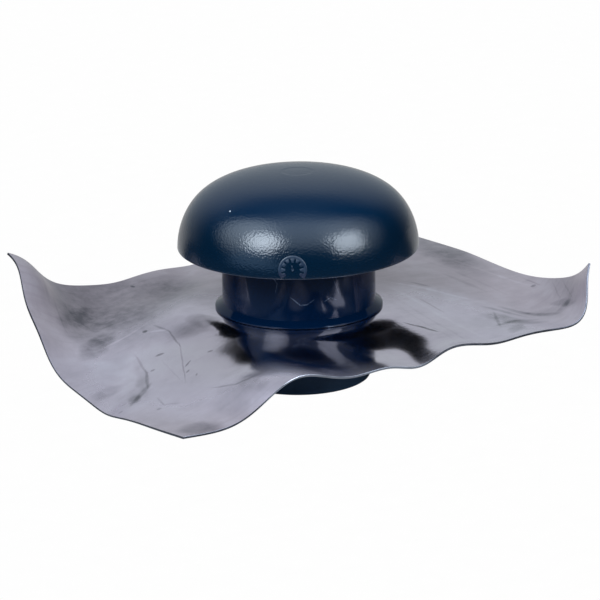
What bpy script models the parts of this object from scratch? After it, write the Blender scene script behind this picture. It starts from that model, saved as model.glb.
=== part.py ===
"""Roof vent cap: a moulded mushroom dome on a short round tube, with a bent
lead flashing sheet clamped between the tube's conical foot and the flange of a
plug-in sleeve below.

Metres, +Z up.  The origin is on the tube's axis, in the plane of the sleeve's
bottom edge.  +X runs along the long side of the flashing sheet.
"""

import math

import bmesh
import bpy
import numpy as np
from mathutils import Matrix, Vector

MM = 0.001

# ---------------------------------------------------------------- dimensions
STEPS = 64                   # segments around every turned shape

# dome: superelliptic shoulder with a shallow crown on top of it
DOME_R = 84.9 * MM           # outer radius at the rim
DOME_RIM_Z = 94.6 * MM       # height of the rim
SHOULDER_H = 49.2 * MM       # rise from the rim to the top of the shoulder
SHOULDER_P_R = 4.2           # exponent of the radius in the superellipse
SHOULDER_P_Z = 1.85          # exponent of the height in the superellipse
CROWN_R = 68.0 * MM          # radius where the crown starts
CROWN_H = 4.5 * MM           # rise of the crown
DOME_WALL = 2.6 * MM
RIM_SOFTEN = 0.5 * MM        # small rounding of the rim's two edges
GATE_R = 11.6 * MM           # shallow round recess at the top
GATE_DEPTH = 0.2 * MM

# four radial webs inside the dome, notched to sit on the tube's top edge
WEB_THICK = 2.6 * MM
WEB_INNER_R = 38.0 * MM
WEB_TONGUE_Z = 108.0 * MM    # lower tip of the tongue inside the tube
WEB_SKIRT_Z = 101.0 * MM     # lower edge of the web outside the tube

# upper tube with its conical foot
TUBE_R = 54.2 * MM
TUBE_WALL = 3.0 * MM
TUBE_TOP_Z = 122.0 * MM
FOOT_R = 59.2 * MM           # outer radius of the foot's lip
FOOT_TOP_Z = 55.4 * MM       # crease where the foot's cone starts
LIP_H = 1.1 * MM             # upright edge of the lip

# lead flashing sheet
SHEET_X = 364.0 * MM         # flat size, long side
SHEET_Y = 286.0 * MM         # flat size, short side
SHEET_T = 1.5 * MM
SHEET_Z = 50.0 * MM          # height of the sheet's middle plane at the clamp
SHEET_HOLE_R = 51.4 * MM
CLAMP_R = 62.0 * MM          # the sheet is flat inside this radius
CLAMP_BLEND = 18.0 * MM      # and leaves the flat over this width
SHEET_NX, SHEET_NY = 38, 30  # cells of the bent grid

# sleeve: a plug-in end for a 100 mm duct below the sheet, a flange under the
# sheet, and a collar that stands up inside the tube
SLEEVE_R = 50.0 * MM
COLLAR_R = 50.9 * MM
SLEEVE_BORE_R = 47.5 * MM
COLLAR_TOP_Z = 76.0 * MM
FLANGE_R = 60.0 * MM
FLANGE_T = 3.0 * MM

GAP = 0.3 * MM               # clearance between touching pieces

# Folds of the sheet.  Each fold is a straight line on the flat sheet: the
# direction in degrees that the line faces (its normal), its distance from the
# axis, the softness of the bend, and how much the sheet rises past it per
# unit of its own length.
FOLDS = [
    (135, 105 * MM, 5 * MM, 0.74),     # curl of the -X +Y corner, first bend
    (135, 150 * MM, 5 * MM, 0.70),     # its tip, turned up further
    (145, 105 * MM, 20 * MM, -1.15),   # slack valley in front of that curl
    (180, 125 * MM, 10 * MM, 0.48),    # upturn of the -X edge
    (215, 80 * MM, 10 * MM, -0.36),    # droop of the -X -Y quarter
    (-20, 180 * MM, 5 * MM, 0.90),     # curl of the +X -Y corner
    (0, 140 * MM, 5 * MM, 0.20),       # lift of the edge leading to it
    (10, 165 * MM, 25 * MM, -0.40),    # droop of the +X edge
    (-55, 65 * MM, 5 * MM, -0.10),     # slight droop towards +X -Y
    (-90, 105 * MM, 15 * MM, 0.26),    # lift of the -Y edge
]
# Pressed waves of the rim: centre x, y, half-lengths along and across, angle
# in degrees, height.
WAVES = [
    (-100 * MM, -130 * MM, 35 * MM, 60 * MM, 20, 23 * MM),   # hump of the -Y edge
    (5 * MM, -140 * MM, 20 * MM, 45 * MM, -15, -10 * MM),    # hollow beside it
    (60 * MM, -130 * MM, 20 * MM, 85 * MM, 30, -4 * MM),     # long low hollow
    (-170 * MM, 130 * MM, 30 * MM, 40 * MM, -45, 8 * MM),    # lift at the curled tip
    (-185 * MM, 65 * MM, 20 * MM, 30 * MM, 15, 4 * MM),      # lift of the -X edge
]


# ------------------------------------------------------------------- helpers
def clear_scene():
    for ob in list(bpy.data.objects):
        bpy.data.objects.remove(ob, do_unlink=True)


def new_collection(name):
    coll = bpy.data.collections.new(name)
    bpy.context.scene.collection.children.link(coll)
    return coll


def material(name, colour, roughness, metallic=0.0):
    mat = bpy.data.materials.new(name)
    mat.use_nodes = True
    bsdf = mat.node_tree.nodes["Principled BSDF"]
    bsdf.inputs["Base Color"].default_value = (*colour, 1.0)
    bsdf.inputs["Roughness"].default_value = roughness
    bsdf.inputs["Metallic"].default_value = metallic
    return mat


def add_object(name, mesh, coll, parent=None, mat=None):
    ob = bpy.data.objects.new(name, mesh)
    coll.objects.link(ob)
    if parent is not None:
        ob.parent = parent
    if mat is not None:
        mesh.materials.append(mat)
    return ob


def profile_mesh(name, points, closed):
    """Edges only, in the XZ plane at +X, for a Screw modifier."""
    bm = bmesh.new()
    verts = [bm.verts.new((r, 0.0, z)) for r, z in points]
    for a, b in zip(verts[:-1], verts[1:]):
        bm.edges.new((a, b))
    if closed:
        bm.edges.new((verts[-1], verts[0]))
    mesh = bpy.data.meshes.new(name)
    bm.to_mesh(mesh)
    bm.free()
    return mesh


def add_screw(ob):
    mod = ob.modifiers.new("turn", "SCREW")
    mod.axis = "Z"
    mod.angle = math.tau
    mod.steps = STEPS
    mod.render_steps = STEPS
    mod.use_merge_vertices = True
    mod.merge_threshold = 0.00001
    mod.use_smooth_shade = True
    return mod


def add_boolean(ob, cutter, operation):
    mod = ob.modifiers.new(operation.lower(), "BOOLEAN")
    mod.operation = operation
    mod.solver = "EXACT"
    mod.object = cutter
    return mod


def hide_helper(ob):
    ob.hide_render = True
    ob.display_type = "WIRE"


# ---------------------------------------------------------------------- dome
def dome_height(r):
    """Height of the dome's outer surface at radius r."""
    t = max(0.0, 1.0 - (r / DOME_R) ** SHOULDER_P_R)
    z = DOME_RIM_Z + SHOULDER_H * t ** (1.0 / SHOULDER_P_Z)
    if r < CROWN_R:
        z += CROWN_H * (1.0 - (r / CROWN_R) ** 2) ** 2
    return z


def dome_curve(offset, count):
    """Points from the axis to the rim on the surface lying `offset` inside
    the outer one."""
    pts = []
    for i in range(count + 1):
        # equal turns of the superellipse's own angle, closer at the shoulder
        a = 0.5 * math.pi * i / count
        r = DOME_R * math.sin(a) ** (2.0 / SHOULDER_P_R) if i else 0.0
        h = 0.02 * MM
        lo, hi = max(0.0, r - h), min(DOME_R, r + h)
        dz, dr = dome_height(hi) - dome_height(lo), hi - lo
        if i == 0:
            nr, nz = 0.0, 1.0
        elif i == count:
            nr, nz = 1.0, 0.0
        else:
            n = math.hypot(dr, dz)
            nr, nz = -dz / n, dr / n
        pts.append((max(0.0, r - nr * offset), dome_height(r) - nz * offset))
    return pts


def fill_crown(pts, radii):
    """Adds points of the crown between the axis and the first shoulder point."""
    return [pts[0]] + radii + [p for p in pts[1:] if p[0] > radii[-1][0] + 2 * MM]


def make_web(name, angle, coll):
    """A flat web standing in the plane through the axis at `angle`."""
    mid = [p for p in dome_curve(0.5 * DOME_WALL, 40)
           if p[0] >= WEB_INNER_R and p[1] >= WEB_SKIRT_Z]
    inside = TUBE_R - TUBE_WALL - GAP
    outside = TUBE_R + GAP
    outline = [
        (WEB_INNER_R + 6 * MM, WEB_TONGUE_Z),
        (inside - 1 * MM, WEB_TONGUE_Z),
        (inside, WEB_TONGUE_Z + 2 * MM),
        (inside, TUBE_TOP_Z + GAP),
        (outside, TUBE_TOP_Z + GAP),
        (outside, WEB_SKIRT_Z + 6 * MM),
        (outside + 6 * MM, WEB_SKIRT_Z),
        (DOME_R - 0.5 * DOME_WALL, WEB_SKIRT_Z),
    ]
    outline += [p for p in reversed(mid)]
    curve = bpy.data.curves.new(name, "CURVE")
    curve.dimensions = "2D"
    curve.fill_mode = "BOTH"
    curve.extrude = 0.5 * WEB_THICK
    spline = curve.splines.new("POLY")
    spline.points.add(len(outline) - 1)
    for sp, (r, z) in zip(spline.points, outline):
        sp.co = (r, z, 0.0, 1.0)
    spline.use_cyclic_u = True
    flat = bpy.data.objects.new(name + "_outline", curve)
    coll.objects.link(flat)
    # the curve's own XY plane is stood up, then turned about the axis
    flat.matrix_world = Matrix.Rotation(angle, 4, "Z") @ Matrix.Rotation(math.pi / 2, 4, "X")
    bpy.context.view_layer.update()
    deps = bpy.context.evaluated_depsgraph_get()
    mesh = bpy.data.meshes.new_from_object(flat.evaluated_get(deps))
    bm = bmesh.new()
    bm.from_mesh(mesh)
    bmesh.ops.remove_doubles(bm, verts=bm.verts, dist=0.00001)
    bmesh.ops.recalc_face_normals(bm, faces=bm.faces)
    bm.to_mesh(mesh)
    bm.free()
    web = bpy.data.objects.new(name, mesh)
    coll.objects.link(web)
    web.matrix_world = flat.matrix_world
    bpy.data.objects.remove(flat, do_unlink=True)
    hide_helper(web)
    return web


def make_dome(coll, helpers, parent, mat):
    outer = dome_curve(0.0, 16)
    inner = dome_curve(DOME_WALL, 12)
    crown_out = [(r * MM, dome_height(r * MM)) for r in (20.0, 28.0)]
    crown_in = [(r * MM, dome_height(r * MM) - DOME_WALL) for r in (14.0, 27.0)]
    outer = fill_crown(outer, crown_out)
    inner = fill_crown(inner, crown_in)
    # shallow round recess at the top of the outer surface
    floor = dome_height(GATE_R) - GATE_DEPTH
    outer = [(0.0, floor), (GATE_R - GATE_DEPTH, floor),
             (GATE_R, dome_height(GATE_R))] + outer[1:]
    # the rim's two edges are slightly rounded
    top = DOME_RIM_Z
    outer = [p for p in outer if p[1] > top + RIM_SOFTEN + 0.2 * MM]
    inner = [p for p in inner if p[1] > top + RIM_SOFTEN + 0.2 * MM]
    rim = [(DOME_R, top + RIM_SOFTEN), (DOME_R - RIM_SOFTEN, top),
           (DOME_R - DOME_WALL + RIM_SOFTEN, top),
           (DOME_R - DOME_WALL, top + RIM_SOFTEN)]
    points = outer + rim + list(reversed(inner))
    mesh = profile_mesh("dome_cap", points, closed=False)
    ob = add_object("dome_cap", mesh, coll, parent, mat)
    add_screw(ob)
    for k in range(4):
        web = make_web("web_%d" % (k + 1), k * math.pi / 2, helpers)
        add_boolean(ob, web, "UNION")
    return ob


# ---------------------------------------------------------------- upper tube
def make_tube(coll, parent, mat):
    soft = 0.5 * MM
    bore = TUBE_R - TUBE_WALL
    bottom = SHEET_Z + 0.5 * SHEET_T + GAP
    points = [
        (TUBE_R - soft, TUBE_TOP_Z), (TUBE_R, TUBE_TOP_Z - soft),
        (TUBE_R, 0.5 * (TUBE_TOP_Z + FOOT_TOP_Z)),
        (TUBE_R, FOOT_TOP_Z),
    ]
    # the foot is a straight cone down to its upright lip
    points += [
        (FOOT_R, bottom + LIP_H), (FOOT_R, bottom + 0.3 * MM), (FOOT_R - 0.3 * MM, bottom),
        (bore + soft, bottom), (bore, bottom + soft),
        (bore, 0.5 * (TUBE_TOP_Z + FOOT_TOP_Z)),
        (bore, TUBE_TOP_Z - soft), (bore + soft, TUBE_TOP_Z),
    ]
    mesh = profile_mesh("upper_tube", points, closed=True)
    ob = add_object("upper_tube", mesh, coll, parent, mat)
    add_screw(ob)
    return ob


# -------------------------------------------------------------- clamp sleeve
def make_sleeve(coll, parent, mat):
    soft = 0.4 * MM
    top = SHEET_Z - 0.5 * SHEET_T - GAP
    under = top - FLANGE_T
    points = [
        (COLLAR_R - 1.0 * MM, COLLAR_TOP_Z), (COLLAR_R, COLLAR_TOP_Z - 2.0 * MM),
        (COLLAR_R, top),
        (FLANGE_R - soft, top), (FLANGE_R, top - soft),
        (FLANGE_R, under + soft), (FLANGE_R - soft, under),
        (SLEEVE_R + 1.5 * MM, under), (SLEEVE_R, under - 1.5 * MM),
        (SLEEVE_R, 0.5 * under), (SLEEVE_R, soft), (SLEEVE_R - soft, 0.0),
        (SLEEVE_BORE_R + soft, 0.0), (SLEEVE_BORE_R, soft),
        (SLEEVE_BORE_R, 0.5 * under), (SLEEVE_BORE_R, top),
        (SLEEVE_BORE_R, COLLAR_TOP_Z - soft),
        (SLEEVE_BORE_R + soft, COLLAR_TOP_Z),
    ]
    mesh = profile_mesh("clamp_sleeve", points, closed=True)
    ob = add_object("clamp_sleeve", mesh, coll, parent, mat)
    add_screw(ob)
    return ob


# ---------------------------------------------------------------- lead sheet
def sheet_height(x, y):
    """Height of the sheet's middle surface over the flat sheet's x and y."""
    z = np.full(np.shape(x), SHEET_Z)
    for angle, dist, soft, slope in FOLDS:
        a = math.radians(angle)
        q = (x * math.cos(a) + y * math.sin(a) - dist) / soft
        z = z + slope * soft * np.logaddexp(0.0, q)
    for cx, cy, along, across, angle, height in WAVES:
        a = math.radians(angle)
        du = (x - cx) * math.cos(a) + (y - cy) * math.sin(a)
        dv = (y - cy) * math.cos(a) - (x - cx) * math.sin(a)
        z = z + height * np.exp(-(du / along) ** 2 - (dv / across) ** 2)
    return z


def bend_sheet(x, y, samples=28):
    """Bent positions of points of the flat sheet.  The sheet keeps its length
    along every straight line out from the axis, so a rising or falling part
    is drawn in towards the axis."""
    rho = np.hypot(x, y)
    cx = np.where(rho > 0, x / np.maximum(rho, 1e-9), 1.0)
    cy = np.where(rho > 0, y / np.maximum(rho, 1e-9), 0.0)
    reach = np.maximum(rho, CLAMP_R) - CLAMP_R
    steps = CLAMP_R + reach[:, None] * np.linspace(0.0, 1.0, samples + 1)
    z = sheet_height(cx[:, None] * steps, cy[:, None] * steps)
    b = np.clip((steps - CLAMP_R) / CLAMP_BLEND, 0.0, 1.0)
    z = SHEET_Z + (z - SHEET_Z) * b * b * (3.0 - 2.0 * b)
    dz = np.diff(z, axis=1)
    dr = np.diff(steps, axis=1)
    plan = np.sqrt(np.maximum(dr ** 2 - dz ** 2, (0.15 * dr) ** 2)).sum(axis=1)
    r = np.where(rho > CLAMP_R, CLAMP_R + plan, rho)
    return r * cx, r * cy, np.where(rho > CLAMP_R, z[:, -1], SHEET_Z)


def make_sheet(coll, helpers, parent, mat):
    bm = bmesh.new()
    bmesh.ops.create_grid(bm, x_segments=SHEET_NX, y_segments=SHEET_NY, size=0.5)
    flat = np.array([(v.co.x * SHEET_X, v.co.y * SHEET_Y) for v in bm.verts])
    bx, by, bz = bend_sheet(flat[:, 0], flat[:, 1])
    for v, px, py, pz in zip(bm.verts, bx, by, bz):
        v.co = Vector((px, py, pz))
    bmesh.ops.recalc_face_normals(bm, faces=bm.faces)
    if sum(f.normal.z for f in bm.faces) < 0:
        bmesh.ops.reverse_faces(bm, faces=bm.faces)
    mesh = bpy.data.meshes.new("lead_sheet")
    bm.to_mesh(mesh)
    bm.free()
    mesh.shade_smooth()
    ob = add_object("lead_sheet", mesh, coll, parent, mat)
    thick = ob.modifiers.new("thickness", "SOLIDIFY")
    thick.thickness = SHEET_T
    thick.offset = 0.0
    thick.use_even_offset = True

    # round hole that the collar passes through
    bm = bmesh.new()
    bmesh.ops.create_cone(bm, cap_ends=True, cap_tris=False, segments=STEPS,
                          radius1=SHEET_HOLE_R, radius2=SHEET_HOLE_R, depth=30 * MM)
    mesh = bpy.data.meshes.new("sheet_hole")
    bm.to_mesh(mesh)
    bm.free()
    hole = bpy.data.objects.new("sheet_hole", mesh)
    helpers.objects.link(hole)
    hole.location = (0.0, 0.0, SHEET_Z)
    hide_helper(hole)
    add_boolean(ob, hole, "DIFFERENCE")
    return ob


# --------------------------------------------------------------------- build
def main():
    clear_scene()
    parts = new_collection("vent_cap")
    helpers = new_collection("vent_cap_helpers")
    frame = bpy.data.objects.new("vent_cap_frame", None)
    frame.empty_display_size = 0.05
    parts.objects.link(frame)

    plastic = material("navy_plastic", (0.008, 0.022, 0.060), 0.35)
    plastic_dome = material("navy_plastic_textured", (0.010, 0.028, 0.070), 0.45)
    plastic_low = material("navy_plastic_matt", (0.009, 0.020, 0.045), 0.6)
    lead = material("sheet_lead", (0.36, 0.35, 0.38), 0.35, 1.0)

    make_dome(parts, helpers, frame, plastic_dome)
    make_tube(parts, frame, plastic)
    make_sheet(parts, helpers, frame, lead)
    make_sleeve(parts, frame, plastic_low)
    bpy.context.view_layer.update()


main()
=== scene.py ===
import math

import bpy
import numpy as np
from mathutils import Matrix, Vector


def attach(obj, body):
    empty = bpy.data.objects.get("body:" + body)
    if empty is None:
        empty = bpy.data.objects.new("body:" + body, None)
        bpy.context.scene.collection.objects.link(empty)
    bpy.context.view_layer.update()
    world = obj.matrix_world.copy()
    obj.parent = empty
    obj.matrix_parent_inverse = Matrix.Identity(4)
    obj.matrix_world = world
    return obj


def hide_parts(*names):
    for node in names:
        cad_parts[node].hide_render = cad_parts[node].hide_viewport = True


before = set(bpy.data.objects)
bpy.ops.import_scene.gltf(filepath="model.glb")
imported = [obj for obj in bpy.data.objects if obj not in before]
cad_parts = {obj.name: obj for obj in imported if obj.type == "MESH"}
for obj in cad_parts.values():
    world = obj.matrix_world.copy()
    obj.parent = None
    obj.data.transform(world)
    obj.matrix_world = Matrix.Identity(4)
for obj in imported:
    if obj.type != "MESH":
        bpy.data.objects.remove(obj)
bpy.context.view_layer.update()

MM = 0.001
TURN = math.radians(-32.6)      # from the camera's left-right, near-far axes to the part's X and Y


def turned(x, y, z=0.0):
    """A direction or point given across, away from and above the camera's side, in the part's axes."""
    c, s = math.cos(TURN), math.sin(TURN)
    return Vector((c * x - s * y, s * x + c * y, z))


# ------------------------------------------------------------------ the view
def make_camera():
    """Seen from 18.75 degrees above the horizon, 2.1 m from the sleeve's
    bottom, rolled 0.82 degrees."""
    e, dist, focal, roll = math.radians(18.75), 2.1, 2946.5, math.radians(0.82)
    below = 72.15               # the sleeve's bottom shows this far below the middle
    place = turned(0.0, -dist * math.cos(e), dist * math.sin(e))
    # the view's axis passes above the sleeve's bottom, and beside it by the
    # roll's share of that distance
    tilt = math.atan(below / focal)
    yaw = math.atan(below * math.sin(roll) / focal)
    fwd = turned(math.sin(yaw), math.cos(e - tilt), -math.sin(e - tilt)).normalized()
    right = fwd.cross(Vector((0.0, 0.0, 1.0))).normalized()
    up = right.cross(fwd).normalized()
    r2 = right * math.cos(roll) - up * math.sin(roll)
    u2 = right * math.sin(roll) + up * math.cos(roll)
    cam = bpy.data.cameras.new("camera")
    cam.sensor_fit = "HORIZONTAL"
    cam.sensor_width = 36.0
    cam.lens = 36.0 * focal * math.sqrt(1.0 + (below / focal) ** 2) / 600.0
    cam.clip_start, cam.clip_end = 0.1, 50.0
    ob = bpy.data.objects.new("camera", cam)
    bpy.context.scene.collection.objects.link(ob)
    m = Matrix((r2, u2, -fwd)).transposed().to_4x4()
    m.translation = place
    ob.matrix_world = m
    bpy.context.scene.camera = ob
    return ob


# ------------------------------------------------------------- node building
class Tree:
    """Short calls for building a node tree."""

    def __init__(self, tree):
        self.t = tree

    def node(self, kind, **props):
        n = self.t.nodes.new(kind)
        for k, v in props.items():
            setattr(n, k, v)
        return n

    def put(self, socket, value):
        if value is None:
            return
        if isinstance(value, bpy.types.NodeSocket):
            self.t.links.new(value, socket)
        else:
            socket.default_value = value

    def math(self, op, a, b=None, c=None, clamp=False):
        n = self.node("ShaderNodeMath", operation=op, use_clamp=clamp)
        for i, v in enumerate((a, b, c)):
            if v is not None:
                self.put(n.inputs[i], v)
        return n.outputs[0]

    def vec(self, op, a, b=None, scale=None):
        n = self.node("ShaderNodeVectorMath", operation=op)
        self.put(n.inputs[0], a)
        if b is not None:
            self.put(n.inputs[1], b)
        if scale is not None:
            self.put(n.inputs["Scale"], scale)
        return n.outputs["Value"] if op in ("LENGTH", "DOT_PRODUCT", "DISTANCE") else n.outputs["Vector"]

    def local(self, vector, place, angle, size):
        """The vector in the frame of an ellipse: its place, turn and half axes."""
        n = self.node("ShaderNodeMapping", vector_type="TEXTURE")
        self.put(n.inputs["Vector"], vector)
        n.inputs["Location"].default_value = place
        n.inputs["Rotation"].default_value = (0.0, 0.0, angle)
        n.inputs["Scale"].default_value = size
        return n.outputs[0]

    def scaled(self, vector, scale, rotation=(0, 0, 0), location=(0, 0, 0)):
        n = self.node("ShaderNodeMapping", vector_type="POINT")
        self.put(n.inputs["Vector"], vector)
        n.inputs["Location"].default_value = location
        n.inputs["Rotation"].default_value = rotation
        n.inputs["Scale"].default_value = scale
        return n.outputs[0]

    def noise(self, vector, scale, detail=2.0, rough=0.5, distortion=0.0, colour=False):
        n = self.node("ShaderNodeTexNoise")
        self.put(n.inputs["Vector"], vector)
        n.inputs["Scale"].default_value = scale
        n.inputs["Detail"].default_value = detail
        n.inputs["Roughness"].default_value = rough
        n.inputs["Distortion"].default_value = distortion
        return n.outputs["Color" if colour else "Fac"]

    def span(self, value, a, b, lo=0.0, hi=1.0, smooth=True):
        n = self.node("ShaderNodeMapRange", interpolation_type="SMOOTHSTEP" if smooth else "LINEAR")
        n.clamp = True
        self.put(n.inputs["Value"], value)
        # a smooth step runs upwards only, so a falling one swaps its ends
        if b < a:
            a, b, lo, hi = b, a, hi, lo
        n.inputs["From Min"].default_value = a
        n.inputs["From Max"].default_value = b
        self.put(n.inputs["To Min"], lo)
        self.put(n.inputs["To Max"], hi)
        return n.outputs[0]

    def mix(self, factor, a, b, kind="MIX"):
        n = self.node("ShaderNodeMix", data_type="RGBA", blend_type=kind)
        self.put(n.inputs["Factor"], factor)
        for socket, v in ((n.inputs[6], a), (n.inputs[7], b)):
            self.put(socket, (*v, 1.0) if isinstance(v, tuple) and len(v) == 3 else v)
        return n.outputs[2]

    def blot(self, vector, place, angle, size, soft=0.35):
        """1 inside an ellipse, fading over its soft edge."""
        r = self.vec("LENGTH", self.local(vector, place, angle, size))
        return self.span(r, 1.0 + soft, 1.0 - soft)

    def total(self, masks):
        out = masks[0]
        for m in masks[1:]:
            out = self.math("ADD", out, m)
        return out

    def bump(self, height, distance, strength=1.0, normal=None):
        n = self.node("ShaderNodeBump")
        n.inputs["Strength"].default_value = strength
        n.inputs["Distance"].default_value = distance
        self.put(n.inputs["Height"], height)
        if normal is not None:
            self.put(n.inputs["Normal"], normal)
        return n.outputs[0]


def principled(name):
    mat = bpy.data.materials.new(name)
    mat.use_nodes = True
    mat.node_tree.nodes.clear()
    t = Tree(mat.node_tree)
    out = t.node("ShaderNodeOutputMaterial")
    bsdf = t.node("ShaderNodeBsdfPrincipled")
    t.t.links.new(bsdf.outputs[0], out.inputs["Surface"])
    return mat, t, bsdf


# ------------------------------------------------------------------ lighting
# azimuth, elevation, width, height, radiance, shape
LEFT_LIGHT = (-38.0, 34.3, 33.0, 31.0, 5.6, "ELLIPSE")
LEFT_CORE = (-36.0, 34.5, 18.0, 18.0, 2.8, "ELLIPSE")
RIGHT_LIGHT = (53.0, 29.3, 28.0, 25.0, 6.4, "RECTANGLE")
LAMP_TINT = (0.78, 0.89, 1.0)
LIGHT_AWAY = 1.6


def toward(az, el):
    """Unit vector towards a light: azimuth 0 is the camera's side, plus to its right."""
    a, e = math.radians(az), math.radians(el)
    return turned(math.sin(a) * math.cos(e), -math.cos(a) * math.cos(e), math.sin(e))


def softbox(name, spec, aim=(0, 0, 0.12)):
    az, el, wide, high, radiance, shape = spec
    light = bpy.data.lights.new(name, "AREA")
    light.shape = shape
    light.size = 2 * LIGHT_AWAY * math.tan(math.radians(wide / 2))
    light.size_y = 2 * LIGHT_AWAY * math.tan(math.radians(high / 2))
    # the power that gives this radiance over the lamp's face
    face = light.size * light.size_y * (math.pi / 4 if shape == "ELLIPSE" else 1.0)
    light.energy = 4.0 * face * radiance / LAMP_TINT[1]
    light.color = LAMP_TINT
    ob = bpy.data.objects.new(name, light)
    bpy.context.scene.collection.objects.link(ob)
    d = toward(az, el)
    ob.matrix_world = (Matrix.Translation(Vector(aim) + d * LIGHT_AWAY)
                       @ d.to_track_quat("Z", "Y").to_matrix().to_4x4())
    return ob


def make_world():
    """A pale wall behind the object, a broad soft panel above its near side
    and haloes round the two lamps, dark elsewhere; plain white where the
    camera sees it directly."""
    world = bpy.data.worlds.new("studio")
    bpy.context.scene.world = world
    world.use_nodes = True
    world.node_tree.nodes.clear()
    t = Tree(world.node_tree)
    out = t.node("ShaderNodeOutputWorld")
    d = t.node("ShaderNodeTexCoord").outputs["Generated"]

    def along(v):
        return t.vec("DOT_PRODUCT", d, tuple(v))

    right, away, up = along(turned(1, 0)), along(turned(0, 1)), along((0, 0, 1))
    flat = t.math("SQRT", t.math("MAXIMUM", t.math("SUBTRACT", 1.0, t.math("MULTIPLY", up, up)), 1e-5))
    # pale wall: full behind the object, fading upwards and sooner on the right
    facing = t.math("DIVIDE", away, flat)
    side = t.math("MAXIMUM", t.math("DIVIDE", right, flat), 0.0)
    facing = t.math("SUBTRACT", facing, t.math("MULTIPLY", side, 0.30))
    wall = t.math("MULTIPLY", t.span(facing, 0.22, 0.98), t.span(up, 0.60, 0.86, 1.0, 0.24))
    wall = t.math("MULTIPLY", wall, 0.49)
    # bluish glow low on the near left
    low = t.math("MULTIPLY", t.span(along(toward(-43, 1)), 0.84, 0.996), 0.80)
    neutral = t.math("ADD", wall, 0.012)
    # panel above the near side
    high = t.math("MAXIMUM", up, 0.05)
    px = t.math("DIVIDE", right, high)
    py = t.math("DIVIDE", away, high)
    panel = t.math("MULTIPLY", t.span(t.math("ABSOLUTE", px), 2.2, 0.25),
                   t.math("MULTIPLY", t.span(py, -2.6, -0.5), t.span(py, 0.30, -0.42)))
    panel = t.math("MULTIPLY", panel, t.math("MULTIPLY", t.span(up, 0.3, 0.5), 1.75))
    halo = t.math("ADD", t.math("MULTIPLY", t.span(along(toward(-66, 42)), 0.83, 0.985), 2.2),
                  t.math("MULTIPLY", t.span(along(toward(66, 38)), 0.80, 0.985), 0.9))
    tinted = t.math("ADD", panel, halo)
    seen = t.node("ShaderNodeLightPath").outputs["Is Camera Ray"]
    whole = None
    for colour, strength, direct in (((0.91, 1.0, 1.05), neutral, 1.0),
                                     ((0.84, 1.0, 1.15), tinted, 0.0),
                                     ((0.60, 1.0, 1.55), low, 0.0)):
        back = t.node("ShaderNodeBackground")
        t.put(back.inputs["Color"], t.mix(seen, colour, (1.0, 1.0, 1.0)))
        pick = t.node("ShaderNodeMix", data_type="FLOAT")
        t.put(pick.inputs["Factor"], seen)
        t.put(pick.inputs[2], strength)
        t.put(pick.inputs[3], direct)
        t.put(back.inputs["Strength"], pick.outputs[0])
        if whole is None:
            whole = back.outputs[0]
        else:
            both = t.node("ShaderNodeAddShader")
            t.t.links.new(whole, both.inputs[0])
            t.t.links.new(back.outputs[0], both.inputs[1])
            whole = both.outputs[0]
    t.t.links.new(whole, out.inputs["Surface"])
    return world


def make_floor():
    me = bpy.data.meshes.new("floor")
    n, r = 96, 6.0
    ring = [(r * math.cos(math.tau * i / n), r * math.sin(math.tau * i / n), 0.0) for i in range(n)]
    me.from_pydata(ring, [], [tuple(range(n))])
    ob = bpy.data.objects.new("floor", me)
    bpy.context.scene.collection.objects.link(ob)
    ob.location.z = -0.0002
    mat = bpy.data.materials.new("pale_floor")
    mat.use_nodes = True
    mat.node_tree.nodes.clear()
    t = Tree(mat.node_tree)
    out = t.node("ShaderNodeOutputMaterial")
    lp = t.node("ShaderNodeLightPath").outputs["Is Camera Ray"]
    geo = t.node("ShaderNodeNewGeometry")
    pos = geo.outputs["Position"]
    dist = t.vec("LENGTH", pos)
    paper = t.noise(pos, 60.0, 3.0)
    near = t.span(dist, 0.20, 0.45, 0.30, 0.03)
    # the sweep behind the object carries the wall's light down to the floor
    away = t.vec("DOT_PRODUCT", pos, tuple(turned(0, 1)))
    facing = t.math("DIVIDE", away, t.math("MAXIMUM", dist, 0.01))
    sweep = t.math("MULTIPLY", t.span(facing, 0.54, 0.72), t.span(dist, 0.21, 0.32, 0.0, 0.50))
    lit = t.mix(near, (0.0, 0.0, 0.0), (1.0, 1.0, 1.0))
    diff = t.node("ShaderNodeBsdfDiffuse")
    t.put(diff.inputs["Color"], lit)
    lift = t.node("ShaderNodeEmission")
    t.put(lift.inputs["Color"], t.mix(sweep, (0.0, 0.0, 0.0), (1.0, 1.0, 1.0)))
    under = t.node("ShaderNodeAddShader")
    t.t.links.new(diff.outputs[0], under.inputs[0])
    t.t.links.new(lift.outputs[0], under.inputs[1])
    # seen directly, the paper is evenly lit from all around
    glow = t.node("ShaderNodeEmission")
    t.put(glow.inputs["Color"], t.mix(paper, (0.985, 0.985, 0.985), (1.0, 1.0, 1.0)))
    top = t.node("ShaderNodeMixShader")
    t.put(top.inputs[0], lp)
    t.t.links.new(under.outputs[0], top.inputs[1])
    t.t.links.new(glow.outputs[0], top.inputs[2])
    clear = t.node("ShaderNodeBsdfTransparent")
    both = t.node("ShaderNodeMixShader")
    t.put(both.inputs[0], geo.outputs["Backfacing"])
    t.t.links.new(top.outputs[0], both.inputs[1])
    t.t.links.new(clear.outputs[0], both.inputs[2])
    t.t.links.new(both.outputs[0], out.inputs["Surface"])
    me.materials.append(mat)
    return ob


# ------------------------------------------------------------------- meshes
def mesh_object(name, verts, faces, materials, sharp=32.0):
    me = bpy.data.meshes.new(name)
    me.from_pydata([tuple(v) for v in verts], [], faces)
    me.validate(clean_customdata=False)
    me.update()
    me.shade_smooth()
    me.set_sharp_from_angle(angle=math.radians(sharp))
    for m in materials:
        me.materials.append(m)
    ob = bpy.data.objects.new(name, me)
    bpy.context.scene.collection.objects.link(ob)
    return ob


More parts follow.
